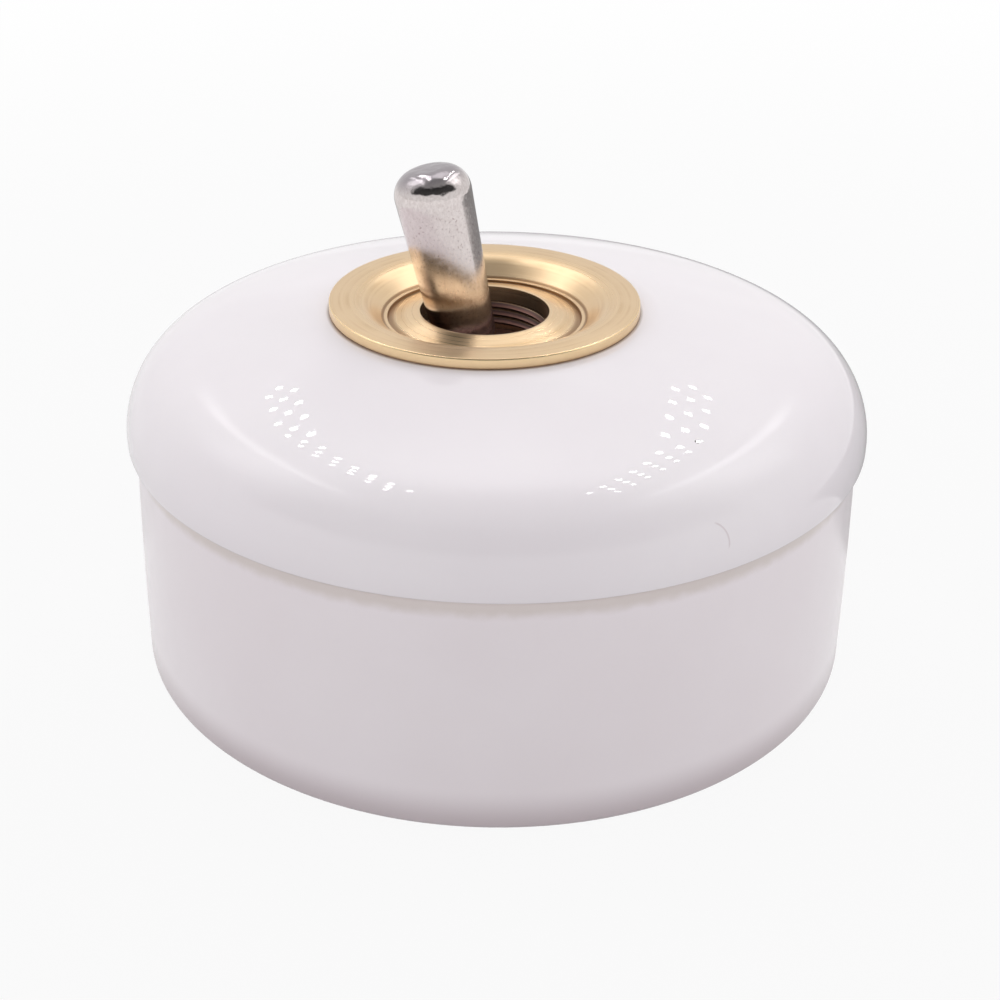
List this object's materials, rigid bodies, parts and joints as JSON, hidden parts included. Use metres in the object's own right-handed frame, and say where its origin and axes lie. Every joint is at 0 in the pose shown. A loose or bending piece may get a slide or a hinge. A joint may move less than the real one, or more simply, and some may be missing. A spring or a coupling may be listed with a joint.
{
  "type": "surface toggle light switch",
  "caption": "Round surface-mounted porcelain light switch with a domed cover, a dished brass ring nut and a short plated toggle lever that rocks a contact inside.",
  "frame": {"origin": "middle of the base's back, on the wall's face", "axes": "+Z out of the wall along the cover's axis, the lever swings along X"},
  "size_m": [0.07, 0.07, 0.0465],
  "materials": {
    "cover_porcelain": "glossy white glaze",
    "base_porcelain": "satin white glaze with fine specks",
    "turned_brass": "satin lathe-turned",
    "lever_plating": "worn satin nickel plating",
    "plated_steel": "zinc plated",
    "spring_steel": "drawn wire",
    "plunger_steel": "turned",
    "contact_brass": "rolled strip",
    "contact_silver": "silver alloy",
    "screw_brass": "machined",
    "screw_steel": "zinc plated"
  },
  "bodies": {
    "housing": {"porcelain_base": "base_porcelain", "porcelain_cover": "cover_porcelain", "ring_nut": "turned_brass", "threaded_bush": "turned_brass", "bridge_frame": "plated_steel", "pivot_pin": "plated_steel", "pivot_clip": "spring_steel", "pivot_washers": "turned_brass", "fulcrum_bracket": "contact_brass", "fulcrum_pin": "plated_steel", "fixed_strip": "contact_brass", "fixed_stud": "contact_silver", "common_terminal": "turned_brass", "switched_terminal": "turned_brass", "clamp_screws": "screw_brass", "terminal_screws": "screw_brass", "floor_screws": "screw_steel", "floor_nuts": "screw_steel"},
    "lever": {"toggle_lever": "lever_plating", "plunger_spring": "spring_steel"},
    "plunger": {"plunger": "plunger_steel"},
    "rocker": {"rocker_contact": "contact_brass", "rocker_stud": "contact_silver"}
  },
  "joints": [
    {"name": "lever_swing", "type": "hinge", "parent": "housing", "child": "lever", "pos_m": [-0.0013, 0, 0.02166], "axis": [0, 1, 0], "range_deg": [0, 24]},
    {"name": "plunger_slide", "type": "slide", "parent": "lever", "child": "plunger", "axis": [-0.2079, 0, 0.9781], "range_m": [0, 0.0004], "stiffness_N_per_m": 1500, "springref_m": -0.001, "deforming": ["plunger_spring"]},
    {"name": "rocker_tilt", "type": "hinge", "parent": "housing", "child": "rocker", "pos_m": [-0.0013, 0, 0.0088], "axis": [0, 1, 0], "range_deg": [-16, 0]}
  ],
  "couplings": [
    {"joint": "rocker_tilt", "follows": "lever_swing", "ratio": -0.66667}
  ]
}
